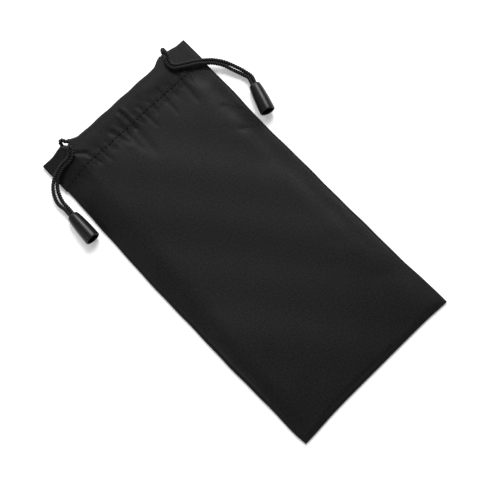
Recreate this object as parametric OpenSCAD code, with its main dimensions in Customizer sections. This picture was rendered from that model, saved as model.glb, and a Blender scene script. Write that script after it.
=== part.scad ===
// Soft drawstring pouch for glasses, lying flat and empty on its back panel.
// Origin: on the surface it lies on, under the middle of the pouch. +Y points to the mouth, +Z up.

/* [Pouch] */
// Width of the pouch, side seam to side seam
pouch_w = 90; // [76:1:120]
// Length of the pouch, closed end to mouth edge
pouch_l = 175; // [140:1:220]
// Thickness of the cloth
cloth_t = 0.4; // [0.3:0.01:0.6]
// Width of the slope from a seam up to the flat top of the pocket
slope_w = 14; // [8:0.1:25]
// Width of the turned-in seam allowance
seam_w = 5; // [3:0.1:8]
// Thickness of the turned-in seam allowance
seam_t = 0.6; // [0.4:0.01:1]

/* [Hems] */
// Depth of each hem, mouth edge to its lower edge
hem_l = 17; // [12:0.1:25]
// Free height of the drawcord channel inside a hem
channel_h = 1.7; // [1.6:0.01:3]
// Free height between the two hems at the mouth
mouth_gap = 4.3; // [4.2:0.01:8]
// Height of each hem where the side seam closes it
corner_h = 1.4; // [1:0.01:2.4]
// Distance of the left slit from the left side
left_slit_in = 14; // [11:0.1:20]
// Distance of the right slit from the right side
right_slit_in = 13; // [11:0.1:20]
// Width of a slit where the cords pass
slit_w = 6; // [5.6:0.01:8]
// Depth of a slit from the mouth edge
slit_l = 6; // [5:0.1:8]
// Height of the band where the hem is sewn shut
sewn_l = 2; // [1:0.1:4]

/* [Stitching] */
// Length of one stitch
stitch_l = 1.5; // [1:0.05:3]
// Distance from one stitch to the next
stitch_pitch = 2.2; // [1.8:0.05:4]
// Thickness of the thread
thread_d = 0.25; // [0.2:0.01:0.4]

/* [Cords] */
// Diameter of the twisted cord
cord_d = 1.5; // [1:0.05:1.6]

/* [Cord ends] */
// Length of a cord end
end_l = 15.2; // [12:0.1:20]
// Outer diameter of a cord end at its open mouth
end_mouth_d = 7.5; // [7:0.1:9.5]
// Outer diameter of a cord end at its neck
end_neck_d = 4.4; // [4.2:0.1:5.2]
// Diameter of the bore that both strands pass through
end_bore_d = 3.3; // [3.2:0.01:3.6]
// Length of that bore
end_bore_l = 1.6; // [1:0.1:3]
// Wall of a cord end around its hollow
end_wall = 0.75; // [0.5:0.01:0.9]
// Diameter of the knot that the cord end rests on
knot_d = 4.2; // [3.7:0.01:4.6]

/* [Hidden] */

cloth = "#26272a";
hem_cloth = "#303136";
thread = "#17171a";
cord = "#1c1d20";
plastic = "#2b2c30";

clear = 0.3;      // gap between pieces that slide past each other
eps = 0.01;       // thickness of a slice that is hulled to another
side = pouch_w / 2;
mouth_y = pouch_l / 2;
hem_y = mouth_y - hem_l;
hem_h = channel_h + 2 * cloth_t;
front_z = hem_h + mouth_gap;              // underside of the front hem and of the front panel
front_top = front_z + hem_h;
seam_z = cloth_t + seam_t;
panel_y = hem_y - clear;                  // where the panels stop short of the moving hem ends
left_slit_x = -side + left_slit_in;
right_slit_x = side - right_slit_in;
flange_w = 1;                             // width on which the front panel sits on a seam

// The drawcords inside the channels: each has a lane of its own, and the same level in both hems
back_cord_z = hem_h / 2;
front_cord_z = front_z + hem_h / 2;
left_lane = -3.3;                         // from the mouth edge
right_lane = -1.5;

// Mouth corners at the level the pouch lies on: the cords' points count from them
left_corner = [-side, mouth_y, 0];
right_corner = [side, mouth_y, 0];

// Free strands, from their slit over the hem's end to just short of the cord end
left_front_route = [[17, -3.3, 8.05], [16.1, -3.3, 8.05], [15.2, -3.5, 8.6], [14.6, -4.2, 9.6],
    [14.6, -5, 10.35], [14.2, -6.9, 10.35], [13, -8.4, 10.2], [11.6, -9.2, 9.6], [10.2, -9.4, 8.9],
    [6.8, -9.1, 7.3], [3.4, -9.5, 5.7], [0.4, -10.6, 4.3], [-2.2, -12.9, 3.2], [-4, -16.1, 2.6],
    [-5, -19.7, 2.1]];
left_back_route = [[17, -3.3, 1.25], [16, -3.3, 1.25], [14.4, -3.1, 1.6], [13.3, -2.9, 2.8],
    [13, -2.8, 4.8], [13, -2.8, 7.6], [13, -3.2, 9.6], [13, -4.2, 10.7], [13, -5, 10.8],
    [12.6, -6.4, 10.4], [11.6, -7.4, 9.8], [10.2, -7.8, 9.1], [6.8, -7.4, 7.3], [3.4, -7.8, 5.7],
    [0.2, -8.8, 4.4], [-3, -10.9, 3.6], [-5.8, -14.5, 2.8], [-7.2, -18.9, 2.2]];
right_front_route = [[-16, -1.5, 8.05], [-15.1, -1.5, 8.05], [-14.2, -1.8, 8.6], [-13.8, -2.6, 9.6],
    [-14.1, -3.6, 10.3], [-14.7, -4.4, 10.5], [-15.1, -5.2, 10.4], [-15.7, -7.1, 10.35],
    [-15.4, -9.1, 10.35], [-14.5, -10.6, 10.35], [-13.1, -11.6, 10.4], [-9, -13.4, 8.6],
    [-5, -14.8, 6.6], [-1.6, -16.5, 4.8], [1.6, -18.8, 3.7], [4.6, -22.5, 3], [6.8, -28, 2.4],
    [8.6, -32.7, 2]];
right_back_route = [[-16, -1.5, 1.25], [-14.8, -1.5, 1.25], [-13.6, -1.2, 1.5], [-12.6, -0.4, 2.2],
    [-12.1, 0.6, 3.6], [-12, 1, 5.6], [-12, 0.9, 8], [-12, 0.2, 10], [-12.1, -1.1, 11],
    [-12.3, -2.6, 11.1], [-12.6, -4.2, 10.9], [-13.5, -5.5, 10.6], [-14.1, -7.2, 10.4],
    [-13.9, -8.5, 10.4], [-13.3, -9.5, 10.4], [-12.4, -10.2, 10.35], [-8.4, -11.8, 8.4],
    [-4.4, -13.2, 6.3], [-0.8, -15, 4.5], [2.6, -17.5, 3.7], [6, -21.5, 3], [8.7, -27.2, 2.4],
    [10.4, -32.3, 2]];

// Return loops, from the front channel round to the back channel at the slit of the other cord
left_return_route = [[-16, -3.3, 8.05], [-15, -3.3, 8.05], [-13.8, -3.4, 7.7], [-12.6, -3.5, 6.6],
    [-12.1, -3.5, 4.65], [-12.6, -3.5, 2.7], [-13.8, -3.4, 1.6], [-15, -3.3, 1.25], [-16, -3.3, 1.25]];
right_return_route = [[17, -1.5, 8.05], [16.1, -1.5, 8.05], [15.2, -1, 8.1], [14.7, -0.1, 8.2],
    [14.4, 0.7, 8.1], [13.7, 1.2, 7.8], [12.9, 0.7, 7.2], [12.6, -0.2, 6.2], [12.6, -0.7, 4.6],
    [13.1, -1, 2.8], [14.1, -1.3, 1.7], [15.5, -1.5, 1.25], [17, -1.5, 1.25]];

// Each cord end: the middle of its neck, and the way it points, neck to mouth
left_end_at = left_corner + [-6.1, -27.6, 2.85];
left_end_way = [-0.045, -0.994, 0.079];
right_end_at = right_corner + [8.8, -40.3, 2.85];
right_end_way = [-0.33, -0.939, 0.079];
strand_off = 0.78;                        // each strand's distance from the middle of the neck
lead_l = 4;                               // straight stretch of the strands above the neck
knot_at = 3.8;                            // from the neck down to the top of the knot
knot_l = 4.6;
tail_l = 2.4;                             // cut ends of the strands below the knot
tube_sides = 8;

// ---------- cloth ----------

// A box from one corner to the other
module block(low, high) {
    translate(low) cube(high - low);
}

module back_panel() {
    color(cloth) block([-side, -mouth_y, 0], [side, panel_y, cloth_t]);
}

// Tray that rises from the three seams to a flat top: its rim is set in by rim, its top lies at top_z
module tray(rim, base_z, base_h, top_z, end_y) {
    hull() {
        block([-side + rim, -mouth_y + rim, base_z], [side - rim, end_y, base_z + base_h]);
        block([-side + slope_w, -mouth_y + slope_w, top_z - eps], [side - slope_w, end_y, top_z]);
    }
}

module front_panel() {
    color(cloth) difference() {
        tray(0, seam_z, cloth_t, front_z + cloth_t, panel_y);
        tray(flange_w, seam_z - 1, 1, front_z, panel_y + 1);
    }
}

module side_seam(sx) {
    color(hem_cloth) scale([sx, 1, 1])
        block([side - seam_w, -mouth_y + seam_w, cloth_t], [side, panel_y, seam_z]);
}

module left_side_seam() { mirror([1, 0, 0]) side_seam(1); }

module right_side_seam() { side_seam(1); }

module bottom_seam() {
    color(hem_cloth) block([-side, -mouth_y, cloth_t], [side, -mouth_y + seam_w, seam_z]);
}

// A row of stitches, count of them, along +X from the origin
module stitch_row(length) {
    count = floor((length - stitch_l) / stitch_pitch);
    start = (length - count * stitch_pitch - stitch_l) / 2;
    for (i = [0 : count])
        translate([start + i * stitch_pitch, -thread_d / 2, 0]) cube([stitch_l, thread_d, thread_d]);
}

// The seam thread lies on the allowances, as far in as the front panel leaves room for it
module seam_stitching() {
    inset = flange_w + 2;
    color(thread) {
        translate([-side + inset, -mouth_y + inset, seam_z]) stitch_row(pouch_w - 2 * inset);
        for (sx = [-1, 1])
            translate([sx * (side - inset), -mouth_y + inset + stitch_pitch, seam_z])
                rotate([0, 0, 90]) stitch_row(pouch_l - hem_l - 2 * inset - stitch_pitch);
    }
}

// ---------- hems ----------

// Outline of a hem across its length, mouth edge at x = 0: a flat tube with a round fold
module hem_outline(h) {
    translate([-hem_l, 0]) square([hem_l - h / 2, h]);
    translate([-h / 2, h / 2]) circle(d = h, $fn = 40);
}

module channel_outline(h) {
    inner = h - 2 * cloth_t;
    translate([-hem_l + sewn_l, cloth_t]) square([hem_l - sewn_l - h / 2, inner]);
    translate([-h / 2, h / 2]) circle(d = inner, $fn = 32);
}

// Carries an outline along +X from x0 to x1 at the mouth edge
module along_mouth(x0, x1, z) {
    translate([x0, mouth_y, z]) rotate([90, 0, 90]) linear_extrude(x1 - x0) children();
}

// What the cords need cut away at a slit, through one hem
module slit_cut(x, z) {
    block([x - slit_w / 2, mouth_y - slit_l, z - 1], [x + slit_w / 2, mouth_y + 1, z + hem_h + 1]);
}

module hem(z) {
    difference() {
        along_mouth(left_slit_x + clear, right_slit_x - clear, z) difference() {
            hem_outline(hem_h);
            channel_outline(hem_h);
        }
        slit_cut(left_slit_x, z);
        slit_cut(right_slit_x, z);
    }
}

// Hem between a slit and the side seam: it comes down from level z to corner_z, where the seam closes it
module hem_end(slit_in, z, corner_z) {
    slit_x = side - slit_in;
    difference() {
        hull() {
            along_mouth(slit_x + clear, slit_x + clear + eps, z) hem_outline(hem_h);
            along_mouth(side - eps, side, corner_z) hem_outline(corner_h);
        }
        hull() {
            along_mouth(slit_x - eps, slit_x, z) channel_outline(hem_h);
            along_mouth(side - cloth_t - eps, side - cloth_t, corner_z + corner_h / 2 - cloth_t - eps)
                channel_outline(2 * cloth_t + 2 * eps);
        }
        slit_cut(slit_x, z);
    }
}

module back_hem() { color(hem_cloth) hem(0); }

module front_hem() { color(hem_cloth) hem(front_z); }

module back_hem_right_end() { color(hem_cloth) hem_end(right_slit_in, 0, 0); }

module back_hem_left_end() { color(hem_cloth) mirror([1, 0, 0]) hem_end(left_slit_in, 0, 0); }

module front_hem_right_end() { color(hem_cloth) hem_end(right_slit_in, front_z, corner_h); }

module front_hem_left_end() { color(hem_cloth) mirror([1, 0, 0]) hem_end(left_slit_in, front_z, corner_h); }

// The thread that closes a channel, on the outside of the hem between the slits
module hem_stitching(z) {
    color(thread) translate([left_slit_x + clear, hem_y + sewn_l / 2, z])
        stitch_row(right_slit_x - left_slit_x - 2 * clear);
}

module front_hem_stitching() { hem_stitching(front_top); }

module back_hem_stitching() { hem_stitching(hem_h); }

// ---------- cords ----------

function unit(v) = v / norm(v);

// Direction of a route at each of its points
function headings(p) = [for (i = [0 : len(p) - 1])
    unit(p[min(i + 1, len(p) - 1)] - p[max(i - 1, 0)])];

// A direction square to each heading, carried along the route without twist
function carried(t, n, i = 0) = i == len(t) ? [] :
    let (m = unit(n - (n * t[i]) * t[i])) concat([m], carried(t, m, i + 1));

// Tube of round section swept along the points of a route
module cord_tube(p) {
    n = tube_sides;
    t = headings(p);
    up = carried(t, [0, 0, 1] + 0.01 * [1, 1, 0]);
    rings = [for (i = [0 : len(p) - 1]) for (k = [0 : n - 1])
        p[i] + cord_d / 2 * (cos(360 * k / n) * up[i] + sin(360 * k / n) * cross(t[i], up[i]))];
    sides = [for (i = [0 : len(p) - 2]) for (k = [0 : n - 1])
        let (a = i * n + k, b = i * n + (k + 1) % n) each [[a, b, a + n], [b, b + n, a + n]]];
    first = [for (k = [0 : n - 1]) n - 1 - k];
    last = [for (k = [0 : n - 1]) (len(p) - 1) * n + k];
    color(cord) polyhedron(rings, concat([first], sides, [last]), convexity = 6);
}

// Points of a route counted from a mouth corner
function from_corner(corner, route) = [for (q = route) corner + q];

// The side of a cord end that a strand lies on, level and square to its length
function end_side(way) = unit(cross(way, [0, 0, 1]));

// A strand's last stretch: straight into the neck and down to the knot, on side s of the cord end
function into_end(at, way, s) = [for (along = [-lead_l, -lead_l / 2, 0, knot_at])
    at + unit(way) * along + end_side(way) * s * strand_off];

// The cord inside a hem, between the slits
module cord_run(lane, z) {
    x0 = left_slit_x + slit_w / 2;
    x1 = right_slit_x - slit_w / 2;
    color(cord) translate([x0, mouth_y + lane, z]) rotate([0, 90, 0]) cylinder(d = cord_d, h = x1 - x0, $fn = 24);
}

module left_cord_front_run() { cord_run(left_lane, front_cord_z); }

module left_cord_back_run() { cord_run(left_lane, back_cord_z); }

module right_cord_front_run() { cord_run(right_lane, front_cord_z); }

module right_cord_back_run() { cord_run(right_lane, back_cord_z); }

module left_cord_return() { cord_tube(from_corner(right_corner, left_return_route)); }

module right_cord_return() { cord_tube(from_corner(left_corner, right_return_route)); }

module left_cord_front_strand() {
    cord_tube(concat(from_corner(left_corner, left_front_route), into_end(left_end_at, left_end_way, -1)));
}

module left_cord_back_strand() {
    cord_tube(concat(from_corner(left_corner, left_back_route), into_end(left_end_at, left_end_way, 1)));
}

module right_cord_front_strand() {
    cord_tube(concat(from_corner(right_corner, right_front_route), into_end(right_end_at, right_end_way, 1)));
}

module right_cord_back_strand() {
    cord_tube(concat(from_corner(right_corner, right_back_route), into_end(right_end_at, right_end_way, -1)));
}

// ---------- cord ends ----------

// Turns +Z to point along a cord end, neck to mouth, and moves to its neck
module on_end(at, way) {
    w = unit(way);
    translate(at) rotate([0, acos(w.z), atan2(w.y, w.x)]) children();
}

// Radius of a cord end at a share k of its length: a bell that swells fast below the neck
function bell_r(k) = end_neck_d / 2 + (end_mouth_d - end_neck_d) / 2 * pow(sin(90 * k), 0.7);

module cord_end() {
    steps = 12;
    color(plastic) rotate_extrude($fn = 48) polygon(concat(
        [for (i = [0 : steps]) [bell_r(i / steps), end_l * i / steps]],
        [for (i = [steps : -1 : 0])
            let (z = end_bore_l + (end_l - end_bore_l) * i / steps)
            [max(end_bore_d / 2, bell_r(z / end_l) - end_wall), z]],
        [[end_bore_d / 2, 0]]));
}

// The overhand knot that both strands are tied in, and their cut ends
module cord_knot() {
    color(cord) {
        translate([0, 0, knot_at + knot_l / 2]) resize([knot_d, knot_d, knot_l]) sphere(d = knot_d, $fn = 24);
        for (s = [-1, 1])
            translate([0, s * strand_off, knot_at + knot_l / 2])
                cylinder(d = cord_d, h = knot_l / 2 + tail_l, $fn = 16);
    }
}

module left_cord_knot() { on_end(left_end_at, left_end_way) cord_knot(); }

module right_cord_knot() { on_end(right_end_at, right_end_way) cord_knot(); }

module left_cord_end() { on_end(left_end_at, left_end_way) cord_end(); }

module right_cord_end() { on_end(right_end_at, right_end_way) cord_end(); }

back_panel();
front_panel();
left_side_seam();
right_side_seam();
bottom_seam();
seam_stitching();
back_hem();
front_hem();
back_hem_left_end();
back_hem_right_end();
front_hem_left_end();
front_hem_right_end();
back_hem_stitching();
front_hem_stitching();
left_cord_front_run();
left_cord_back_run();
left_cord_return();
right_cord_front_run();
right_cord_back_run();
right_cord_return();
left_cord_front_strand();
left_cord_back_strand();
left_cord_knot();
right_cord_front_strand();
right_cord_back_strand();
right_cord_knot();
left_cord_end();
right_cord_end();
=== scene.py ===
# Soft drawstring pouch for glasses: two sheets of black microfibre cloth sewn together on three sides,
# folded over at the mouth into a channel for two twisted cords, whose ends hang in bell-shaped plastic cord
# ends.
import math

import bpy
import numpy as np
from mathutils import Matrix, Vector


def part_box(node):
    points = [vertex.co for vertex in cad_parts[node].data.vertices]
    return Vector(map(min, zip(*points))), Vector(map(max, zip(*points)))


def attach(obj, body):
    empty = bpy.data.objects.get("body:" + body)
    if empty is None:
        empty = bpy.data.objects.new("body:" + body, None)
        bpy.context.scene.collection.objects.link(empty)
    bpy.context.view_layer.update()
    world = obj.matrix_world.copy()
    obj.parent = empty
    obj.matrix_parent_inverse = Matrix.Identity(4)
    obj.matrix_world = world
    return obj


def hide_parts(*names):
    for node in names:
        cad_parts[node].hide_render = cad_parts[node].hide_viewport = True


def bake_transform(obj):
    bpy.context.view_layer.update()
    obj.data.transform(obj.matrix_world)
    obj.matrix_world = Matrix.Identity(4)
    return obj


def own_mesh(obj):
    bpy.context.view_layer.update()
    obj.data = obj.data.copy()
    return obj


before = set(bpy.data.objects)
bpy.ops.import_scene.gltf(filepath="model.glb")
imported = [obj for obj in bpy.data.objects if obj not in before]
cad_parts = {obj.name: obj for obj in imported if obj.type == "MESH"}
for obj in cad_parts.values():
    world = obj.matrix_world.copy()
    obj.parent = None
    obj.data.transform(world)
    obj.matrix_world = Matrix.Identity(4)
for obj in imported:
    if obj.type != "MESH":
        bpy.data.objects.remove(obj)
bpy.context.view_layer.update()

# ---------- View ----------
# A camera almost straight above the pouch, leaning a little towards the viewer, with the pouch lying
# diagonally under it, its mouth to the upper left.

MM = 0.001
TILT = math.radians(10.95)
TURN = math.radians(44.02)
DISTANCE = 450 * MM
AIM = np.array([-2.98, -5.88, 0]) * MM

look = np.array([math.sin(TURN) * math.sin(TILT), math.cos(TURN) * math.sin(TILT), -math.cos(TILT)])
camera_data = bpy.data.cameras.new("camera")
camera_data.sensor_width = 36
camera_data.lens = 71.1
camera_data.clip_start = 0.01
camera = bpy.data.objects.new("camera", camera_data)
camera.location = AIM - look * DISTANCE
camera.rotation_euler = (TILT, 0, -TURN)
bpy.context.scene.collection.objects.link(camera)
bpy.context.scene.camera = camera


# ---------- Twisted cords ----------
# Limp polyester drawcord of 1.5 mm nominal, three plies laid together. A free cord is slack, so it is drawn
# a little thicker than that, and its turns a little longer than the real three millimetres, so that the
# plies show. Each cord leaves the hem at its own slit as two strands, runs over the hem's end and down to
# the surface, and is knotted inside its cord end. At the other slit it shows only as the loop where it
# turns back.

CORD_D = 1.5 * MM
LAY = 3.6 * MM            # length of one turn of the plies
GROOVE = 0.75             # the grooves between plies reach down to this share of the radius
CROWN = 0.98 * MM         # the slack plies of a free cord stand proud of the nominal radius
PLIES = 3
YARNS = 5                 # ridges drawn on each ply
CORD_SIDES = 36
CORD_STEP = 0.17 * MM     # distance between the rings of points of a cord

low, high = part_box("front_hem_left_end")
LEFT_CORNER = np.array([low[0], high[1], 0])
low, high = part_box("front_hem_right_end")
RIGHT_CORNER = np.array([high[0], high[1], 0])
MOUTH_Y = LEFT_CORNER[1]
HALF_W = RIGHT_CORNER[0]

left_front_route = [[17, -3.3, 8.05], [16.1, -3.3, 8.05], [15.2, -3.5, 8.6], [14.6, -4.2, 9.6],
                    [14.6, -5, 10.35], [14.2, -6.9, 10.35], [13, -8.4, 10.2], [11.6, -9.2, 9.6],
                    [10.2, -9.4, 8.9], [6.8, -9.1, 7.3], [3.4, -9.5, 5.7], [0.4, -10.6, 4.3],
                    [-2.2, -12.9, 3.2], [-4, -16.1, 2.6], [-5, -19.7, 2.1]]
left_back_route = [[17, -3.3, 1.25], [16, -3.3, 1.25], [14.4, -3.1, 1.6], [13.3, -2.9, 2.8],
                   [13, -2.8, 4.8], [13, -2.8, 7.6], [13, -3.2, 9.6], [13, -4.2, 10.7],
                   [13, -5, 10.8], [12.6, -6.4, 10.4], [11.6, -7.4, 9.8], [10.2, -7.8, 9.1],
                   [6.8, -7.4, 7.3], [3.4, -7.8, 5.7], [0.2, -8.8, 4.4], [-3, -10.9, 3.6],
                   [-5.8, -14.5, 2.8], [-7.2, -18.9, 2.2]]
right_front_route = [[-16, -1.5, 8.05], [-15.1, -1.5, 8.05], [-14.2, -1.8, 8.6], [-13.8, -2.6, 9.6],
                     [-14.1, -3.6, 10.3], [-14.7, -4.4, 10.5], [-15.1, -5.2, 10.4], [-15.7, -7.1, 10.35],
                     [-15.4, -9.1, 10.35], [-14.5, -10.6, 10.35], [-13.1, -11.6, 10.4], [-9, -13.4, 8.6],
                     [-5, -14.8, 6.6], [-1.6, -16.5, 4.8], [1.6, -18.8, 3.7], [4.6, -22.5, 3],
                     [6.8, -28, 2.4], [8.6, -32.7, 2]]
right_back_route = [[-16, -1.5, 1.25], [-14.8, -1.5, 1.25], [-13.6, -1.2, 1.5], [-12.6, -0.4, 2.2],
                    [-12.1, 0.6, 3.6], [-12, 1, 5.6], [-12, 0.9, 8], [-12, 0.2, 10], [-12.1, -1.1, 11],
                    [-12.3, -2.6, 11.1], [-12.6, -4.2, 10.9], [-13.5, -5.5, 10.6], [-14.1, -7.2, 10.4],
                    [-13.9, -8.5, 10.4], [-13.3, -9.5, 10.4], [-12.4, -10.2, 10.35], [-8.4, -11.8, 8.4],
                    [-4.4, -13.2, 6.3], [-0.8, -15, 4.5], [2.6, -17.5, 3.7], [6, -21.5, 3],
                    [8.7, -27.2, 2.4], [10.4, -32.3, 2]]
left_return_route = [[-16, -3.3, 8.05], [-15, -3.3, 8.05], [-13.8, -3.4, 7.7], [-12.6, -3.5, 6.6],
                     [-12.1, -3.5, 4.65], [-12.6, -3.5, 2.7], [-13.8, -3.4, 1.6], [-15, -3.3, 1.25],
                     [-16, -3.3, 1.25]]
right_return_route = [[17, -1.5, 8.05], [16.1, -1.5, 8.05], [15.2, -1, 8.1], [14.7, -0.1, 8.2],
                      [14.4, 0.7, 8.1], [13.7, 1.2, 7.8], [12.9, 0.7, 7.2], [12.6, -0.2, 6.2],
                      [12.6, -0.7, 4.6], [13.1, -1, 2.8], [14.1, -1.3, 1.7], [15.5, -1.5, 1.25],
                      [17, -1.5, 1.25]]

# Where each cord end's neck is, and the way the cord end points from neck to mouth
LEFT_END = LEFT_CORNER + np.array([-6.1, -27.6, 2.85]) * MM
LEFT_WAY = np.array([-0.045, -0.994, 0.079])
RIGHT_END = RIGHT_CORNER + np.array([8.8, -40.3, 2.85]) * MM
RIGHT_WAY = np.array([-0.33, -0.939, 0.079])
END_PLACES = [("left", LEFT_END, LEFT_WAY), ("right", RIGHT_END, RIGHT_WAY)]
STRAND_OFF = 0.78 * MM    # half the distance between a neck's two strands
LEAD = 4 * MM             # straight stretch of the strands above a neck
KNOT_AT = 3.8 * MM        # from a neck down to its knot


def unit(v):
    """Each vector of an array over its own length."""
    return v / np.linalg.norm(v, axis=-1, keepdims=True)


def into_end(at, way, side):
    """The last points of a strand, along the cord end's axis and off to one side of it, level and square."""
    way = unit(way)
    off = unit(np.cross(way, [0, 0, 1])) * side * STRAND_OFF
    return [at + way * along + off for along in (-LEAD, -LEAD / 2, 0, KNOT_AT)]


def run_of(line):
    """Distance along a line of points from its first point to each of them."""
    return np.concatenate([[0], np.cumsum(np.linalg.norm(np.diff(line, axis=0), axis=1))])


def smooth_line(points, step):
    """A line through the points at even steps. Between two points it is a cubic, whose slope at each point
    is that of the parabola through the point and its neighbours, over the distance along the chords. It is
    measured at places eight to a step, and then spaced evenly."""
    p = np.array(points, float)
    s = run_of(p)
    slope = np.gradient(p, s, axis=0, edge_order=1)
    fine = np.linspace(0, s[-1], int(s[-1] / (step / 8)) + 2)
    k = np.clip(np.searchsorted(s, fine, side="right") - 1, 0, len(s) - 2)
    h = (s[k + 1] - s[k])[:, None]
    t = (fine - s[k])[:, None] / h
    line = ((2 * t**3 - 3 * t**2 + 1) * p[k] + (t**3 - 2 * t**2 + t) * h * slope[k]
            + (3 * t**2 - 2 * t**3) * p[k + 1] + (t**3 - t**2) * h * slope[k + 1])
    run = run_of(line)
    even = np.linspace(0, run[-1], max(int(run[-1] / step), 2) + 1)
    return np.stack([np.interp(even, run, line[:, i]) for i in range(3)], axis=1)


def carried_frame(line):
    """Heading of a line at each point, and two directions square to it that are carried along without
    twist."""
    heading = unit(np.gradient(line, axis=0))
    across = np.empty_like(line)
    normal = np.array([0.1, 0.2, 1.0])      # any direction that no cord sets out in
    for i, t in enumerate(heading):
        normal = unit(normal - normal.dot(t) * t)
        across[i] = normal
    return heading, across, np.cross(heading, across)


def new_piece(name, points, faces):
    """A smooth-shaded object made of these points and faces."""
    mesh = bpy.data.meshes.new(name)
    mesh.from_pydata(points, [], faces)
    mesh.polygons.foreach_set("use_smooth", np.ones(len(mesh.polygons), bool))
    mesh.update()
    piece = bpy.data.objects.new(name, mesh)
    bpy.context.scene.collection.objects.link(piece)
    return piece


def mesh_from_grid(name, points, uv=None, loop=False, wrap=False, caps=False, keep=None):
    """A mesh whose vertices are the rows and columns of points, joined to four-sided faces. loop joins the
    last column to the first, wrap the last row to the first, and caps closes the first and last row. keep
    says which faces stay, one value for each. uv is a pair of values for each point."""
    rows, cols = points.shape[:2]
    at = np.arange(rows * cols).reshape(rows, cols)
    if loop:
        at = np.concatenate([at, at[:, :1]], axis=1)
    if wrap:
        at = np.concatenate([at, at[:1]])
    faces = np.stack([at[:-1, :-1], at[:-1, 1:], at[1:, 1:], at[1:, :-1]], axis=-1)
    faces = faces.reshape(-1, 4) if keep is None else faces[keep]
    used, faces = np.unique(faces, return_inverse=True)
    points = points.reshape(-1, 3)[used]
    at = np.searchsorted(used, at)
    faces = faces.reshape(-1, 4).tolist()
    if caps:
        faces += [at[0, :cols][::-1].tolist(), at[-1, :cols].tolist()]
    piece = new_piece(name, points, faces)
    if uv is not None:
        layer = piece.data.uv_layers.new(name="cloth")
        corner = np.empty(len(piece.data.loops), np.int32)
        piece.data.loops.foreach_get("vertex_index", corner)
        layer.data.foreach_set("uv", uv.reshape(-1, 2)[used][corner].ravel())
    return piece


def ply_radius(angle):
    """Outline of three equal plies side by side, as a radius at each angle: the far side of the nearest ply's
    circle, never deeper than the groove."""
    ply = 1 / (1 + 2 / math.sqrt(3))
    out = 1 - ply
    near = (angle + math.pi / 3) % (2 * math.pi / 3) - math.pi / 3
    inside = np.clip(ply**2 - (out * np.sin(near))**2, 0, None)
    return np.maximum(out * np.cos(near) + np.sqrt(inside), GROOVE)


def twisted_cord(name, route, phase=0.0, crown=CROWN):
    """A laid cord along a route: at each point of the line the ply outline, turned by one turn per lay
    length. The UV map holds the angle that turns with the plies and the length, in millimetres."""
    line = smooth_line(route, CORD_STEP)
    _, across, up = carried_frame(line)
    run = run_of(line)
    angle = np.linspace(0, 2 * math.pi, CORD_SIDES, endpoint=False)[None, :]
    turned = angle + phase - 2 * math.pi * run[:, None] / LAY
    radius = crown * ply_radius(turned)
    ring = (across[:, None] * (radius * np.cos(angle))[..., None]
            + up[:, None] * (radius * np.sin(angle))[..., None])
    uv = np.stack(np.broadcast_arrays(turned / (2 * math.pi), run[:, None] / MM), axis=-1)
    piece = mesh_from_grid(name, line[:, None] + ring, uv, loop=True, caps=True)
    piece.data.materials.append(cord_material)
    return piece, line


def linear(hex_colour):
    """A colour written as sRGB hex, as the linear values that shaders take."""
    c = np.array([int(hex_colour[i:i + 2], 16) for i in (1, 3, 5)]) / 255
    c = np.where(c <= 0.04045, c / 12.92, ((c + 0.055) / 1.055)**2.4)
    return (*c.tolist(), 1.0)


def adjust(node, settings):
    """Sets a node's properties, or the value of an input where the name is that of an input with spaces
    written as underscores."""
    for key, value in settings.items():
        if hasattr(node, key):
            setattr(node, key, value)
        else:
            node.inputs[key.replace("_", " ")].default_value = value


def material(name, **settings):
    """A new node material, its tree, and its Principled shader with these settings."""
    made = bpy.data.materials.new(name)
    made.use_nodes = True
    shader = made.node_tree.nodes["Principled BSDF"]
    adjust(shader, settings)
    return made, made.node_tree, shader


def add(tree, kind, links=(), **settings):
    """Adds a node with its settings. links are pairs of an input and the output that feeds it."""
    made = tree.nodes.new(kind)
    adjust(made, settings)
    for socket, source in links:
        tree.links.new(source, made.inputs[socket])
    return made


BANDS = math.pi / 10      # scale of a wave texture with one band to each unit of length

# Filament polyester, spun and laid. Its colour holds painted light: painted shade, almost black, in the
# grooves, and a painted grey highlight on the crown of every ply. The fine ridges are its yarns, drawn
# five to a ply, which is coarser than they are, so that they show.
cord_material, tree, shader = material("laid_polyester_cord", Roughness=0.45, Specular_IOR_Level=0.12)
place = add(tree, "ShaderNodeUVMap", uv_map="cloth")
plies = add(tree, "ShaderNodeTexWave", [("Vector", place.outputs["UV"])], bands_direction="X",
            Scale=PLIES * BANDS, Phase_Offset=math.pi)
# crown picks out the crown of each ply, where the painted highlight goes.
crown = add(tree, "ShaderNodeMapRange", [("Value", plies.outputs["Fac"])], From_Min=0.75, From_Max=1.0)
# Painted shade and painted highlight: almost black in the grooves (A), grey on the ply crowns (B).
painted_groove_shade_and_crown_glint = add(tree, "ShaderNodeMix", [("Factor", crown.outputs["Result"])], data_type="RGBA")
painted_groove_shade_and_crown_glint.inputs["A"].default_value = linear("#010101")
painted_groove_shade_and_crown_glint.inputs["B"].default_value = linear("#333334")
tree.links.new(painted_groove_shade_and_crown_glint.outputs["Result"], shader.inputs["Base Color"])
yarns = add(tree, "ShaderNodeTexWave", [("Vector", place.outputs["UV"])], bands_direction="X",
            Scale=PLIES * YARNS * BANDS, Distortion=1.5, Detail=1.0)
tree.links.new(add(tree, "ShaderNodeBump", [("Height", yarns.outputs["Fac"])], Strength=0.3,
                   Distance=0.03 * MM).outputs["Normal"], shader.inputs["Normal"])


def from_corner(corner, route):
    """Points counted from a mouth corner in millimetres, as points of the row frame in metres."""
    return [corner + np.array(p) * MM for p in route]


def strand(name, corner, route, at, way, side):
    """One free strand, from its slit to its knot: the route from the mouth corner, then straight along the
    cord end's axis through the neck."""
    points = from_corner(corner, route) + into_end(at, way, side)
    piece, line = twisted_cord(name, points)
    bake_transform(piece)
    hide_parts(name.replace("_piece", ""))
    return piece, line


LEFT_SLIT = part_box("front_hem_left_end")[1][0]
RIGHT_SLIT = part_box("front_hem_right_end")[0][0]

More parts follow.
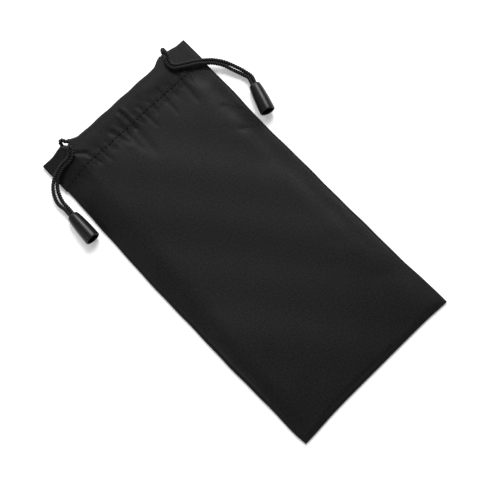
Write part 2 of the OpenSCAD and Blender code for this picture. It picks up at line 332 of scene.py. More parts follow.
strands = {}
for name, corner, route, at, way, side, mouth, pull, slit_x in [
        ("left_cord_front_strand", LEFT_CORNER, left_front_route, LEFT_END, LEFT_WAY, -1,
         "left_mouth", "left_pull", LEFT_SLIT),
        ("left_cord_back_strand", LEFT_CORNER, left_back_route, LEFT_END, LEFT_WAY, 1,
         "left_mouth", "left_pull", LEFT_SLIT),
        ("right_cord_front_strand", RIGHT_CORNER, right_front_route, RIGHT_END, RIGHT_WAY, 1,
         "right_mouth", "right_pull", RIGHT_SLIT),
        ("right_cord_back_strand", RIGHT_CORNER, right_back_route, RIGHT_END, RIGHT_WAY, -1,
         "right_mouth", "right_pull", RIGHT_SLIT)]:
    strands[name] = strand(name + "_piece", corner, route, at, way, side)

for name, corner, route, mouth in [("left_cord_return", RIGHT_CORNER, left_return_route, "right_mouth"),
                                   ("right_cord_return", LEFT_CORNER, right_return_route, "left_mouth")]:
    piece, _ = twisted_cord(name + "_piece", from_corner(corner, route))
    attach(piece, mouth)
    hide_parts(name)


# ---------- Cords inside the hems ----------
# Between the slits both cords lie side by side in the channels of the two hems, where only the slits show
# them. When the mouth is gathered the hems crowd together along them.

RUN_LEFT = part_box("left_cord_front_run")[0][0]
RUN_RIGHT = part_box("left_cord_front_run")[1][0]
RUN_POINTS = 31
PRESSED = 0.72 * MM       # crown radius of a cord that the channel presses slimmer than it is outside

# Each mouth edge stands back in the middle, with the cords in it. These are millimetres.
BOW = {"front": 2.2, "back": 1.4}
BOW_FROM = 15.5           # from the side seam to the inner side of a slit, where the bow begins
BOW_OVER = 6              # and this much further in it is whole


def ease(a, b, x):
    """0 at a, 1 at b, 3t^2 - 2t^3 between, and level outside. a may be the larger."""
    t = np.clip((x - a) / (b - a), 0, 1)
    return t * t * (3 - 2 * t)


def standing_back(x):
    """Which share of its bow the mouth edge has at x, in millimetres."""
    return ease(BOW_FROM, BOW_FROM + BOW_OVER, HALF_W / MM - np.abs(x))


for name in ["left_cord_front_run", "left_cord_back_run", "right_cord_front_run", "right_cord_back_run"]:
    low, high = (np.array(v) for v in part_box(name))
    x = np.linspace(RUN_LEFT, RUN_RIGHT, RUN_POINTS)
    route = np.stack(np.broadcast_arrays(x, (low[1] + high[1]) / 2, (low[2] + high[2]) / 2), axis=1)
    route[:, 1] -= BOW[name.split("_")[2]] * MM * standing_back(x / MM)
    piece, _ = twisted_cord(name + "_piece", route, crown=PRESSED)
    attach(piece, "pouch")
    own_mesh(piece)
    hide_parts(name)


# ---------- Cord ends ----------
# Moulded polypropylene bells, about 15 mm long, with a narrow neck that both strands of a cord pass through
# and a wide open mouth. The strands are tied in one knot inside, which the bell slides down onto.

END_L = 15.2 * MM
NECK_D = 5 * MM
NECK_EDGE = 0.3 * MM      # rounding of the neck's outer edge
BELL_D = 7.5 * MM         # outer diameter of the open mouth
BORE_D = 3.6 * MM         # hole in the neck, which both strands pass through
BORE_L = 1.6 * MM
WALL = 0.75 * MM
LIP = 0.34 * MM           # rounding of the rim
BELL_SIDES = 64


def bell_radius(k):
    """Outer radius at a share k of the length: it swells fast below the neck, by the square root of a
    sine."""
    return NECK_D / 2 + (BELL_D - NECK_D) / 2 * np.sin(np.clip(k, 0, 1) * math.pi / 2)**0.5


def bell_profile():
    """Closed outline, as radius and distance from the neck: up the outside, round the rim, back inside and
    through the bore."""
    k = np.linspace(0, 1, 60)**1.25
    outer = np.stack([bell_radius(k), END_L * k], axis=1)
    outer[:, 0] -= NECK_EDGE * (1 - np.clip(k / 0.03, 0, 1))**2
    outer = outer[outer[:, 1] < END_L - LIP]
    turn = np.linspace(0, math.pi, 12)
    mid = BELL_D / 2 - WALL / 2
    rim = np.stack([mid + WALL / 2 * np.cos(turn), END_L - LIP + LIP * np.sin(turn)], axis=1)
    z = np.linspace(END_L - LIP, BORE_L, 40)
    inner = np.stack([np.maximum(bell_radius(z / END_L) - WALL, BORE_D / 2), z], axis=1)
    bore = np.array([[BORE_D / 2, BORE_L * 0.9], [BORE_D / 2, 0.4 * MM], [BORE_D / 2 + 0.12 * MM, 0.1 * MM],
                     [BORE_D / 2 + 0.25 * MM, 0]])
    return np.concatenate([outer, rim, inner[1:], bore])


def on_end(points, at, way):
    """Points given along and across a cord end, third value from neck to mouth, placed in the row frame."""
    w = unit(np.array(way))
    u = unit(np.cross(w, [0, 0, 1]))
    return at + points[..., :1] * u + points[..., 1:2] * np.cross(w, u) + points[..., 2:3] * w


# Polypropylene from a fine-ground mould: black, and glossy enough that the lamps show as broad streaks. The
# mould's unevenness is drawn at about a millimetre.
plastic, tree, shader = material("moulded_polypropylene", Base_Color=linear("#131314"), IOR=1.49,
                                 Specular_IOR_Level=0.2)
place = add(tree, "ShaderNodeTexCoord")
flow = add(tree, "ShaderNodeTexNoise", [("Vector", place.outputs["Object"])], Scale=900.0, Detail=3.0)
tree.links.new(add(tree, "ShaderNodeMapRange", [("Value", flow.outputs["Fac"])], From_Min=0.3, From_Max=0.7,
                   To_Min=0.26, To_Max=0.36).outputs["Result"], shader.inputs["Roughness"])
tree.links.new(add(tree, "ShaderNodeBump", [("Height", flow.outputs["Fac"])], Strength=0.2,
                   Distance=0.02 * MM).outputs["Normal"], shader.inputs["Normal"])

profile = bell_profile()
angle = np.linspace(0, 2 * math.pi, BELL_SIDES, endpoint=False)[None, :]
bell = np.stack(np.broadcast_arrays(profile[:, :1] * np.sin(angle), profile[:, :1] * np.cos(angle),
                                    profile[:, 1:]), axis=-1)
for side, at, way in END_PLACES:
    piece = mesh_from_grid(side + "_cord_end_bell", on_end(bell, at, way), loop=True, wrap=True)
    piece.data.materials.append(plastic)
    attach(piece, side + "_end")
    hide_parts(side + "_cord_end")


# ---------- Knots ----------
# Both strands are tied together in one overhand knot that is too thick for the neck of the cord end, and
# cut off a few millimetres past it. Its turns follow a trefoil, and its two tails spread a little.

KNOT_D = 4.2 * MM
KNOT_L = 4.6 * MM
TAIL_L = 2.4 * MM
TAIL_SPREAD = 0.35 * MM
TAIL_WAVE = 0.1 * MM

t = np.linspace(0.2, 2 * math.pi + 0.1, 40)
reach = (KNOT_D - CORD_D) / 2
turns = np.stack([(2 + np.cos(3 * t)) * np.cos(2 * t) / 3 * reach,
                  (2 + np.cos(3 * t)) * np.sin(2 * t) / 3 * reach,
                  KNOT_AT + KNOT_L / 2 + (KNOT_L - CORD_D) / 2 * np.sin(3 * t)], axis=1)
knots = {}
for side, at, way in END_PLACES:
    piece, _ = twisted_cord(side + "_cord_knot_turns", on_end(turns, at, way))
    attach(piece, side + "_pull")
    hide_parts(side + "_cord_knot")
    knots[side] = [piece]
    for label, sign in [("a", -1), ("b", 1)]:
        along = np.linspace(KNOT_L / 2, KNOT_L + TAIL_L, 8)
        spread = sign * (STRAND_OFF + TAIL_SPREAD * np.linspace(0, 1, 8)**2)
        tail = np.stack([spread, TAIL_WAVE * np.sin(along * 900), KNOT_AT + along], axis=1)
        piece, _ = twisted_cord(side + "_cord_tail_" + label, on_end(tail, at, way), phase=1.0)
        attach(piece, side + "_pull")
        knots[side].append(piece)

for name, (piece, line) in strands.items():
    side = name.split("_")[0]


# ---------- Front cloth ----------
# One sheet of black polyester microfibre, 0.4 mm thick, sewn to the back sheet on three sides with the seam
# turned in. At the mouth it folds over and is stitched down, which makes the channel for the cords. It is
# made as a left and a right half. Sizes are in millimetres from here on.

HALF = HALF_W / MM
MOUTH = MOUTH_Y / MM
CLOTH_T = 0.4
ROLL = 1.1                # radius of the edge where the cloth turns down to the seam
STITCH_Y = float(sum(v[1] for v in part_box("front_hem_stitching"))) / 2 / MM
HEM_END_Y = STITCH_Y - 1  # raw edge of the turned-in cloth
HEM_T = 2.5               # hem, channel included
FOLD_SET = 0.7            # the mouth edge stands back from the corners by this much at the slits
SLITS = [(-32.9, -29.3, 82.9), (30.1, 33.1, 82.9)]    # sides and lower end of each slit
SEAM_Z = 0.75             # height of the side seams over the surface
HEM_SEAM = 0.45           # the seams lie this much higher where they take in the hems
TOP = 5.2                 # how far the front stands up from its seams
TOWARDS_HEM = 1.15        # more of that towards the hem
ALONG_HEM = 0.7           # and more again along the hem
SIDE_RISE = 17            # how far in from a side seam the front reaches its full height
LEFT_STEEPER = 6          # so much sooner along the lower left
HEM_RISE = 13.3           # the same for the hem's ends
END_RISES = [(0.25, 5), (0.75, 75)]     # shares of the height, and how far from the closed end each is full


def folds(x, y, lines):
    """Soft folds added up. Each is a bell curve square to its line, and fades out over its ends."""
    total = np.zeros_like(x)
    for x0, y0, x1, y1, width, height in lines:
        length = math.hypot(x1 - x0, y1 - y0)
        ux, uy = (x1 - x0) / length, (y1 - y0) / length
        along = (x - x0) * ux + (y - y0) * uy
        off = (x - x0) * uy - (y - y0) * ux
        fade = ease(-1.5 * width, 1.5 * width, along) * ease(-1.5 * width, 1.5 * width, length - along)
        total += height * np.exp(-(off / width)**2) * fade
    return total


# x, y of both ends, half width and height of each fold
FRONT_FOLDS = [
    (-2.4, 81.0, -2.2, 68.0, 0.8, -0.95), (-0.5, 80.5, -0.3, 70.0, 0.9, 0.4),
    (-4.3, 79.0, -4.1, 70.5, 1.0, 0.35), (-2.2, 70.0, -3.6, 53.0, 2.2, -0.6),
    (-6.9, 74.0, -6.3, 58.0, 1.5, -0.45), (-9.4, 71.0, -9.8, 62.0, 1.3, 0.2),
    (-12.4, 76.5, -8.8, 65.0, 1.1, -0.45), (-10.0, 76.5, -7.6, 70.0, 0.9, 0.3),
    (-31.0, 79.4, -26.8, 75.3, 1.0, -0.7), (-27.4, 76.0, -24.6, 67.0, 1.1, -0.55),
    (-29.6, 76.0, -26.0, 71.0, 1.2, 0.25), (-36.8, 74.0, -35.6, 66.5, 0.9, -0.35),
    (-21.3, 75.0, -20.4, 64.5, 1.0, -0.35), (-16.6, 74.0, -15.6, 66.5, 0.9, -0.2),
    (1.8, 75.0, 2.2, 67.5, 0.9, -0.25), (5.4, 76.5, 5.9, 62.5, 1.1, -0.4),
    (10.6, 74.5, 10.0, 66.5, 0.9, -0.25), (17.7, 76.0, 17.0, 60.5, 1.2, -0.4),
    (23.2, 74.5, 22.4, 66.0, 1.0, -0.25), (29.3, 76.5, 28.0, 58.5, 1.3, -0.45),
    (34.7, 75.0, 33.8, 65.5, 0.9, -0.25), (38.5, 75.0, 38.1, 68.5, 0.7, -0.2),
    (14.4, 84.0, 16.8, 76.0, 3.0, 0.22), (-22.0, 84.5, -18.0, 76.0, 3.2, 0.25),
    (8.0, 82.0, 7.0, 75.0, 1.8, -0.18), (34.6, 49.5, 38.0, 44.4, 1.2, -0.9),
    (37.8, 44.8, 42.0, 40.4, 1.0, -0.9), (33.0, 35.2, 41.2, 29.0, 1.4, -0.7),
    (36.8, 50.5, 41.0, 46.0, 1.6, 0.15), (36.0, 38.8, 41.8, 34.5, 1.9, 0.15),
    (28.5, 39.5, 35.0, 33.5, 2.6, -0.25), (27.0, 18.5, 38.0, 10.5, 5.0, -0.4),
    (25.0, -30.5, 35.5, -40.0, 4.6, -0.35), (29.0, -56.5, 38.0, -64.5, 3.6, -0.4),
    (38.0, 1.0, 42.5, -5.0, 1.8, -0.25), (37.0, -19.0, 42.0, -26.5, 2.0, -0.25),
    (38.0, -46.0, 42.5, -52.0, 1.8, -0.25), (-43.0, 31.0, -37.0, 40.0, 1.8, -0.25),
    (-42.5, 4.0, -36.5, 13.5, 2.0, -0.25), (-42.0, -24.0, -34.0, -14.0, 2.4, -0.3),
    (-42.0, -67.0, -30.0, -50.0, 6.0, -0.7), (-39.0, -83.0, -26.0, -70.0, 5.0, -0.6),
    (9.0, -80.0, 17.0, -66.0, 4.0, -0.2),
]


def in_from_side(x):
    """Distance from the nearer side seam."""
    return HALF - np.abs(x)


def roll(d):
    """Quarter circle of radius 1, reached at one ROLL from the edge: how far the cloth has turned up."""
    return np.sqrt(np.clip(1 - (1 - np.clip(d / ROLL, 0, 1))**2, 0, 1))


def swell(d, width):
    """How far the filled-out cloth has risen at distance d from a seam: steep at the seam and ever flatter,
    by a cube."""
    return 1 - (1 - np.clip((d - ROLL) / (width - ROLL), 0, 1))**3


def straight_rise(d, width):
    """The same for a hem's end, which the channel holds almost straight."""
    t = np.clip((d - ROLL) / (width - ROLL), 0, 1)
    return 0.7 * t + 0.3 * ease(0, 1, t)


def undulation(x, y):
    """Slow waves of cloth that has been folded and handled: four sines in different directions."""
    return (0.28 * np.sin(0.083 * x + 0.051 * y + 0.4) + 0.2 * np.sin(-0.11 * x + 0.092 * y + 2.1)
            + 0.11 * np.sin(0.21 * x + 0.16 * y + 1.2) + 0.07 * np.sin(0.33 * x - 0.27 * y))


def filled(x, y):
    """How far the front stands up from its seams, from 0 to 1: it rises quickly along the sides, most
    steeply along the lower left, and from the closed end at first quickly, then slowly over half the
    length."""
    d, e = in_from_side(x), y + MOUTH
    width = SIDE_RISE - LEFT_STEEPER * ease(10, -45, y) * (x < 0)
    held = ease(STITCH_Y - 12, STITCH_Y - 1, y)
    across = (1 - held) * swell(d, width) + held * straight_rise(d, HEM_RISE)
    return across * sum(share * swell(e, reach) for share, reach in END_RISES)


def front_height(x, y):
    """Height of the outer face of the front: seam, rolled edge, swell and flat top, raised towards and
    along the hem, drawn down along the stitches, with folds and waves on top."""
    d, e = in_from_side(x), y + MOUTH
    hem = ease(STITCH_Y - 1, STITCH_Y + 9, y)
    seam = SEAM_Z + HEM_SEAM * ease(STITCH_Y - 4, STITCH_Y + 2, y)
    ridge = 0.16 * np.exp(-((d - 2.1) / 0.8)**2)
    top = TOP + TOWARDS_HEM * ease(-20, STITCH_Y - 4, y) + ALONG_HEM * hem
    height = seam + ROLL * roll(d) * roll(e) + top * filled(x, y)
    height += ridge * (1 - hem) * roll(d) * roll(e)
    fade = ease(0.8, 5, d) * ease(0.8, 5, e)
    loose = 1 - ease(STITCH_Y + 6, STITCH_Y + 10.5, y)
    creases = (0.5 + 0.3 * hem) * folds(x, y, FRONT_FOLDS) + undulation(x, y) * (0.35 + 0.65 * (1 - hem))
    height += fade * creases * (0.12 + 0.88 * loose)
    row = np.exp(-((y - STITCH_Y) / 0.6)**2)
    beside = np.exp(-((y - STITCH_Y + 2.2) / 1.5)**2) + 0.6 * np.exp(-((y - STITCH_Y - 2.2) / 1.3)**2)
    pucker = (0.07 * np.sin(2.75 * x + 1.9 * np.sin(0.31 * x))
              + 0.1 * np.sin(1.31 * x + 2.0 + 1.1 * np.sin(0.17 * x)))
    height += ease(1, 4, d) * (-0.06 * row + 0.7 * pucker * beside)
    return height


def hem_thickness(d):
    """A hem is pinched flat where the side seam takes it in, and almost a full channel ten millimetres in."""
    return 0.5 + (HEM_T - 0.5) * (1 - np.exp(-np.clip(d, 0, None) / 3.6))


def mouth_edge(x, bow):
    """The fold at the mouth: level with the corners at the sides, standing back by FOLD_SET at the slits
    and by bow more in the middle, and a little wavy."""
    d = in_from_side(x)
    return (MOUTH - FOLD_SET * ease(0, 7, d) - bow * standing_back(x)
            + 0.12 * np.sin(0.52 * x + 0.7) * ease(2, 8, d))


def outline(x, y):
    """How far the cloth lies from a plain rectangle, along x and along y: both long edges bow to the left,
    the left one more, and wave a little, and the closed end reaches furthest at its corners."""
    d, e = in_from_side(x), y + MOUTH
    near = 1 - ease(0, 30, d)
    left = 1.85 * ease(STITCH_Y + 2, 12, y) + 0.35 * np.exp(-((y + 30) / 30)**2) - 0.5 * ease(6, 0, e)
    right = 0.9 * ease(60, 30, y) * ease(3, 38, e)
    wave = (0.1 * np.sin(0.135 * y + 0.9) + 0.06 * np.sin(0.36 * y + 2.0 * np.sign(x))) * ease(2, 14, e)
    wave *= ease(STITCH_Y - 2, STITCH_Y - 14, y)
    side = -near * np.where(x < 0, left, right) + near * wave * np.sign(x)
    end = 0.45 + 1.1 * np.exp(-((x + 45) / 14)**2) + 0.6 * np.exp(-((x - 45) / 9)**2)
    return side, -end * (1 - ease(0, 30, e))


def edge_lines():
    """Distances of the grid's first lines from a sewn edge: close together round the rolled edge."""
    return ROLL * (1 - np.cos(np.linspace(0, math.pi / 2, 8)))


def columns():
    """Places of the grid's lines across the pouch: close together round the rolled edges, and on the slits'
    sides."""
    half = np.concatenate([edge_lines(), np.linspace(ROLL, 6, 10)[1:], np.linspace(6, HALF, 74)[1:]])
    x = np.concatenate([half - HALF, (HALF - half)[-2::-1]])
    for side in (s for slit in SLITS for s in slit[:2]):
        x[np.argmin(np.abs(x - side))] = side
    return x


def sheet_grid(height, bow):
    """One sheet of the pouch as a grid: from its closed edge up to the mouth, round the fold and back along
    the inside of the hem. height is the function that gives its outer face, and bow is that of its mouth
    edge."""
    x = columns()[None, :]
    start = STITCH_Y - 8
    low = np.concatenate([edge_lines() - MOUTH, np.linspace(ROLL - MOUTH, start, 190)[1:]])
    share = np.linspace(0, 1, 70)[1:, None]
    radius = hem_thickness(in_from_side(x)) / 2
    centre = mouth_edge(x, bow) - radius
    low = np.broadcast_to(low[:, None], (len(low), x.shape[1]))
    y = np.concatenate([low, start + (centre - start) * share])
    for left, right, lower in SLITS:
        across = (x[0] >= left) & (x[0] <= right)
        y[np.argmin(np.abs(y[:, across].mean(axis=1) - lower)), across] = lower
    x_all = np.broadcast_to(x, y.shape)
    z = height(x_all, y)
    turn = np.linspace(0, math.pi, 15)[1:-1, None]
    fold_z = z[-1:] - radius
    back = centre + (HEM_END_Y - centre) * np.linspace(0, 1, 46)[:, None]
    flat = 1.15 * CLOTH_T
    sewn = flat + (2 * radius - flat) * ease(STITCH_Y + 0.6, STITCH_Y + 4.5, back)
    inside = height(np.broadcast_to(x, back.shape), back) - np.minimum(sewn, 2 * radius)
    inside = inside + (fold_z - radius - inside[:1]) * ease(HEM_END_Y + 6, MOUTH - 2, back)
    y = np.concatenate([y, centre + radius * np.sin(turn), back])
    z = np.concatenate([z, fold_z + radius * np.cos(turn), inside])
    x = np.broadcast_to(x, y.shape)
    grid = np.stack([x, y, z], axis=-1)
    run = np.concatenate([np.zeros((1, x.shape[1])),
                          np.cumsum(np.linalg.norm(np.diff(grid, axis=0), axis=-1), axis=0)])
    side, end = outline(x, y)
    grid[..., 0] += side
    grid[..., 1] += end
    return grid, np.stack([x, run], axis=-1)


def cut_slits(grid):
    """Which faces of the grid stay when the slits are cut out of the hem."""
    middle = (grid[:-1, :-1] + grid[1:, 1:]) / 2
    keep = np.ones(middle.shape[:2], bool)
    for left, right, lower in SLITS:
        keep &= ~((middle[..., 0] > left) & (middle[..., 0] < right) & (middle[..., 1] > lower))
    return keep


def give_thickness(piece, thickness):
    """Solidify towards the inside, applied, with the rim's edges kept crisp."""
    solid = piece.modifiers.new("thickness", "SOLIDIFY")
    solid.thickness = thickness
    solid.offset = -1
    bpy.context.view_layer.update()
    made = bpy.data.meshes.new_from_object(piece.evaluated_get(bpy.context.evaluated_depsgraph_get()))
    piece.modifiers.clear()
    piece.data = made
    made.set_sharp_from_angle(angle=math.radians(60))


def gather_with(piece):
    """Bakes the placement of a piece of one half into its mesh."""
    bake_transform(piece)


WEAVE = 0.36              # distance between threads

# Black polyester microfibre with a soft satin face, which the fibre's fineness leaves almost without gloss.
# Real threads are about 0.15 mm apart; they are drawn 0.36 mm apart so that the weave shows. A grain of
# about a millimetre makes the black mottled, as brushed fibres do, and slubs a few millimetres long make
# the sheen uneven.
microfibre, tree, shader = material("woven_polyester_microfibre", Specular_IOR_Level=0.1, Sheen_Weight=0.03,
                                    Sheen_Roughness=0.4, Sheen_Tint=linear("#c0c0c0"))
place = add(tree, "ShaderNodeUVMap", uv_map="cloth")
warp, weft = (add(tree, "ShaderNodeTexWave", [("Vector", place.outputs["UV"])], bands_direction=direction,
                  Scale=BANDS / WEAVE, Distortion=0.6, Detail=1.0) for direction in "XY")
weave = add(tree, "ShaderNodeMath", operation="MULTIPLY")
tree.links.new(warp.outputs["Fac"], weave.inputs[0])
tree.links.new(weft.outputs["Fac"], weave.inputs[1])
stretch = add(tree, "ShaderNodeMapping", [("Vector", place.outputs["UV"])], Scale=(0.9, 0.16, 1))
slubs = add(tree, "ShaderNodeTexNoise", [("Vector", stretch.outputs["Vector"])], Scale=1.6, Detail=5.0,
            Roughness=0.75)
grain = add(tree, "ShaderNodeTexNoise", [("Vector", place.outputs["UV"])], Scale=1.1, Detail=3.0,
            Roughness=0.8)
tone = add(tree, "ShaderNodeMapRange", [("Value", grain.outputs["Fac"])], From_Min=0.3, From_Max=0.7)
colour = add(tree, "ShaderNodeMix", [("Factor", tone.outputs["Result"])], data_type="RGBA")
colour.inputs["A"].default_value = linear("#0a0a0a")
colour.inputs["B"].default_value = linear("#1e1e1e")
tree.links.new(colour.outputs["Result"], shader.inputs["Base Color"])
tree.links.new(add(tree, "ShaderNodeMapRange", [("Value", slubs.outputs["Fac"])], From_Min=0.3, From_Max=0.7,
                   To_Min=0.42, To_Max=0.6).outputs["Result"], shader.inputs["Roughness"])
threads = add(tree, "ShaderNodeBump", [("Height", weave.outputs["Value"])], Strength=0.35, Distance=0.04 * MM)
mottled = add(tree, "ShaderNodeBump",
              [("Height", grain.outputs["Fac"]), ("Normal", threads.outputs["Normal"])],
              Strength=0.4, Distance=0.2 * MM)
uneven = add(tree, "ShaderNodeBump",
             [("Height", slubs.outputs["Fac"]), ("Normal", mottled.outputs["Normal"])],
             Strength=0.25, Distance=0.12 * MM)
tree.links.new(uneven.outputs["Normal"], shader.inputs["Normal"])


def make_cloth(piece, thickness):
    """Turns a surface into cloth of this thickness, in millimetres."""
    give_thickness(piece, thickness * MM)
    piece.data.materials.append(microfibre)


def halves(name, grid, uv, keep, flip=False):
    """The left and the right half of a sheet, meeting in the middle column. flip turns the faces over."""
    middle = grid.shape[1] // 2
    pieces = {}
    for side, part in [("left", slice(0, middle + 1)), ("right", slice(middle, None))]:
        faces = slice(part.start, None if part.stop is None else part.stop - 1)
        points, map_, kept = grid[:, part] * MM, uv[:, part], keep[:, faces]
        if flip:
            points, map_, kept = points[:, ::-1], map_[:, ::-1], kept[:, ::-1]
        piece = mesh_from_grid(side + name, points, map_, keep=kept)
        make_cloth(piece, CLOTH_T)
        pieces[side] = piece
    return pieces


grid, cloth_uv = sheet_grid(front_height, BOW["front"])
front = halves("_front_cloth", grid, cloth_uv, cut_slits(grid))
for side, piece in front.items():
    gather_with(piece)
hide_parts("front_panel", "front_hem", "front_hem_left_end")
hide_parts("front_hem_right_end")


# ---------- Back cloth ----------
# The same cloth again, lying flat on the surface, with a hem of its own at the mouth. Its edges curl up to
# meet the front at the seams.

BACK_SEAM_Z = 0.72


def back_depth(x, y):
    """Height of the outer, lower face of the back: it lies on the surface, barely waved, and turns up to
    the seam."""
    d, e = in_from_side(x), y + MOUTH
    hem = ease(STITCH_Y - 4, STITCH_Y + 2, y)
    seam = BACK_SEAM_Z + HEM_SEAM * hem
    curl = 1 - roll(d) * roll(e)
    wave = 0.09 * (1 + np.sin(0.16 * x + 0.5)) * ease(1, 8, d) * (0.5 + 0.5 * np.sin(0.07 * y + 1.4))
    return seam * curl + wave * (1 - ease(STITCH_Y - 4, STITCH_Y, y))


def upside_down(x, y):
    """The back as seen from below, so that the same grid function can build it."""
    return -back_depth(x, y)


grid, back_uv = sheet_grid(upside_down, BOW["back"])
grid[..., 2] *= -1
back = halves("_back_cloth", grid, back_uv, cut_slits(grid), flip=True)
for side, piece in back.items():
    gather_with(piece)
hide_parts("back_panel", "back_hem", "back_hem_left_end")
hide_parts("back_hem_right_end")


# ---------- Seam allowances ----------
# The edges of both sheets, turned to the inside of the pouch: two layers, whose raw edge waves a little.
# They lie on the back cloth along the two sides and the closed end.

ALLOWANCE = 4.6           # width
ALLOWANCE_T = 0.6         # both layers, pressed
ALLOWANCE_GAP = 0.5       # from the sewn edge to the strips
ALLOWANCE_Z = CLOTH_T + 0.95            # height of their upper face at the seam


def allowance(name, along, place_at):
    """Strip of two layers of cloth along a seam: along runs over its length, and its height waves towards
    the raw edge by two sines."""
    across = np.linspace(0, 1, 9)[None, :]
    run = np.linspace(along[0], along[1], 150)[:, None]
    raw = ALLOWANCE * (1 + 0.035 * np.sin(0.9 * run) + 0.02 * np.sin(2.3 * run + 1))
    inwards = ALLOWANCE_GAP + (raw - ALLOWANCE_GAP) * across
    up = ALLOWANCE_Z + across**2 * (0.13 * np.sin(0.31 * run) + 0.1 * np.sin(0.74 * run + 2))
    run, inwards, up = np.broadcast_arrays(run, inwards, up)
    points = place_at(run, inwards, up)
    piece = mesh_from_grid(name, points * MM, np.stack([inwards, run], axis=-1))
    make_cloth(piece, ALLOWANCE_T)
    return piece


def along_side(sign):
    """Places a strip along the side seam on that side, faces up."""
    def place_at(run, inwards, up):
        side, _ = outline(np.full_like(run, sign * HALF), run)
        x = sign * (HALF - inwards) + side
        points = np.stack([x, run, up], axis=-1)
        return points if sign < 0 else points[:, ::-1]
    return place_at


def along_end(run, inwards, up):
    """Places a strip along the closed end, faces up."""
    return np.stack([run, inwards - MOUTH, up], axis=-1)[:, ::-1]


strips = {}
for side, sign in [("left", -1), ("right", 1)]:
    strips[side] = allowance(side + "_seam_allowance", (6 - MOUTH, STITCH_Y - 2), along_side(sign))
    gather_with(strips[side])
    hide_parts(side + "_side_seam")
end_strip = allowance("end_seam_allowance", (-HALF + 0.8, HALF - 0.8), along_end)
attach(end_strip, "pouch")
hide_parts("bottom_seam")


# ---------- Stitches ----------
# Polyester sewing thread, sewn by machine. A row along each hem closes its channel, and each stitch sinks a
# little into the cloth at its ends. The same thread closes the seams from the inside.

STITCH_L = 1.55
PITCH = 2.2               # from one stitch to the next
THREAD = 0.5              # drawn twice as thick as the real quarter of a millimetre, so that it shows
RINGS = 8                 # rings of points along a stitch
ROUND = 8                 # points in each ring
SEAM_IN = 2.2             # distance of the seams' stitches from the sewn edge
TWIST = 0.4               # between the turns of the thread

# Spun polyester thread: dull, and blacker than the cloth, so that a row reads as a dark dotted line. Its
# turns are drawn coarser than they are, so that they show.
thread, tree, shader = material("polyester_sewing_thread", Base_Color=linear("#020202"), Roughness=0.5,
                                Specular_IOR_Level=0.1)
place = add(tree, "ShaderNodeTexCoord")
twist = add(tree, "ShaderNodeTexWave", [("Vector", place.outputs["Object"])], bands_direction="DIAGONAL",
            Scale=BANDS / (TWIST * MM), Distortion=1.0)
tree.links.new(add(tree, "ShaderNodeBump", [("Height", twist.outputs["Fac"])], Strength=0.4,
                   Distance=0.03 * MM).outputs["Normal"], shader.inputs["Normal"])


def stitches(name, starts, ends):
    """One mesh of many stitches. Each is a tube from its start to its end, whose middle stands half a
    thread high and whose ends are narrow and sunk."""
    t = np.linspace(0, 1, RINGS)[None, :, None, None]
    a = np.linspace(0, 2 * math.pi, ROUND, endpoint=False)[None, None, :, None]
    starts, ends = starts[:, None, None, :], ends[:, None, None, :]
    up = np.array([0.0, 0.0, 1.0])
    side = unit(np.cross(unit(ends - starts), up))
    arch = np.sqrt(np.clip(1 - (2 * t - 1)**2, 0.02, 1))
    points = (starts + (ends - starts) * t + up * THREAD * (0.62 * arch - 0.45)
              + THREAD / 2 * arch**0.6 * (np.cos(a) * side + np.sin(a) * up))
    ring = np.arange(ROUND)
    here = ROUND * np.arange(RINGS - 1)[:, None] + ring
    there = ROUND * np.arange(RINGS - 1)[:, None] + np.roll(ring, -1)
    one = np.stack([here, here + ROUND, there + ROUND, there], axis=-1).reshape(-1, 4)
    before = RINGS * ROUND * np.arange(len(points))[:, None]
    sides = (one[None] + before[..., None]).reshape(-1, 4).tolist()
    first = (ring + before).tolist()
    last = (ROUND * (RINGS - 1) + ring[::-1] + before).tolist()
    piece = new_piece(name, points.reshape(-1, 3) * MM, sides + first + last)
    piece.data.materials.append(thread)
    return piece


def hem_row(name, x0, x1, height):
    """Row of stitches across a hem, lying on the face of the cloth that this height function gives."""
    x = np.arange(x0, x1 - STITCH_L, PITCH)
    y = STITCH_Y + 0.12 * np.sin(0.4 * x)
    left, right = (np.stack([at, y, height(at, y)], axis=-1) for at in (x, x + STITCH_L))
    return stitches(name, left, right)


def seam_row(name, x, y, way):
    """Row of stitches that close a seam, from points along it. way is the direction in which each one
    runs."""
    starts = np.stack(np.broadcast_arrays(x, y, ALLOWANCE_Z + 0.05), axis=-1)
    return stitches(name, starts, starts + np.array(way) * STITCH_L)


def inside_back(x, y):
    """Height of the inner face of the back's hem, where its row of stitches can be seen."""
    return back_depth(x, y) + 2 * CLOTH_T + 0.12


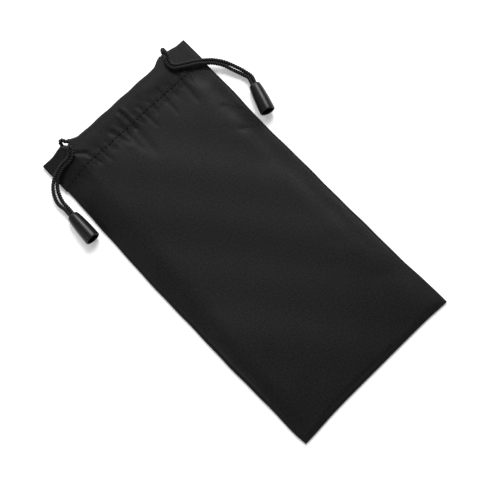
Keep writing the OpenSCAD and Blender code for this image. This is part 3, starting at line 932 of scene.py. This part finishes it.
for side, x0, x1 in [("left", -HALF + 1.6, 0.4), ("right", 0.4, HALF - 1.4)]:
    row = hem_row(side + "_front_hem_stitches", x0, x1, front_height)
    gather_with(row)
    under = hem_row(side + "_back_hem_stitches", x0, x1, inside_back)
    gather_with(under)
    if side == "left":
        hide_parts("front_hem_stitching")
        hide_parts("back_hem_stitching")

for side, sign in [("left", -1), ("right", 1)]:
    row = seam_row(side + "_seam_stitches", sign * (HALF - SEAM_IN),
                   np.arange(4 - MOUTH, STITCH_Y - 5, PITCH), (0, 1, 0))
    gather_with(row)
row = seam_row("end_seam_stitches", np.arange(-HALF + 3, HALF - 3 - STITCH_L, PITCH),
               SEAM_IN - MOUTH, (1, 0, 0))
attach(row, "pouch")
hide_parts("seam_stitching")


# ---------- Floor and light ----------
# A white board under soft light from the side that the mouth points to. It glows a little, so that it stays
# white all over, as a board that is lit on its own does.

floor_size = 3.0
s = floor_size / 2
floor = new_piece("floor", [(-s, -s, 0), (s, -s, 0), (s, s, 0), (-s, s, 0)], [(0, 1, 2, 3)])
matt_white, tree, shader = material("matt_white_board", Base_Color=linear("#fbfbfb"), Roughness=0.9,
                                    Specular_IOR_Level=0.1, Emission_Color=linear("#ffffff"),
                                    Emission_Strength=0.2)
floor.data.materials.append(matt_white)

world = bpy.data.worlds.new("soft_room")
bpy.context.scene.world = world
world.use_nodes = True
adjust(world.node_tree.nodes["Background"], {"Color": (1, 1, 1, 1), "Strength": 0.32})
bpy.context.scene.view_settings.view_transform = "Standard"


def soft_lamp(name, place, size, power):
    """A square lamp that faces the middle of the pouch."""
    data = bpy.data.lights.new(name, "AREA")
    data.shape = "SQUARE"
    data.size = size
    data.energy = power
    lamp = bpy.data.objects.new(name, data)
    lamp.location = place
    lamp.rotation_euler = (-Vector(place)).to_track_quat("-Z", "Y").to_euler()
    bpy.context.scene.collection.objects.link(lamp)


soft_lamp("key_lamp", (1.1, 1.0, 1.5), 1.0, 50.0)
soft_lamp("side_lamp", (-1.5, 0.6, 1.1), 0.6, 4.0)
soft_lamp("far_lamp", (0.2, 2.2, 1.0), 1.0, 22.0)
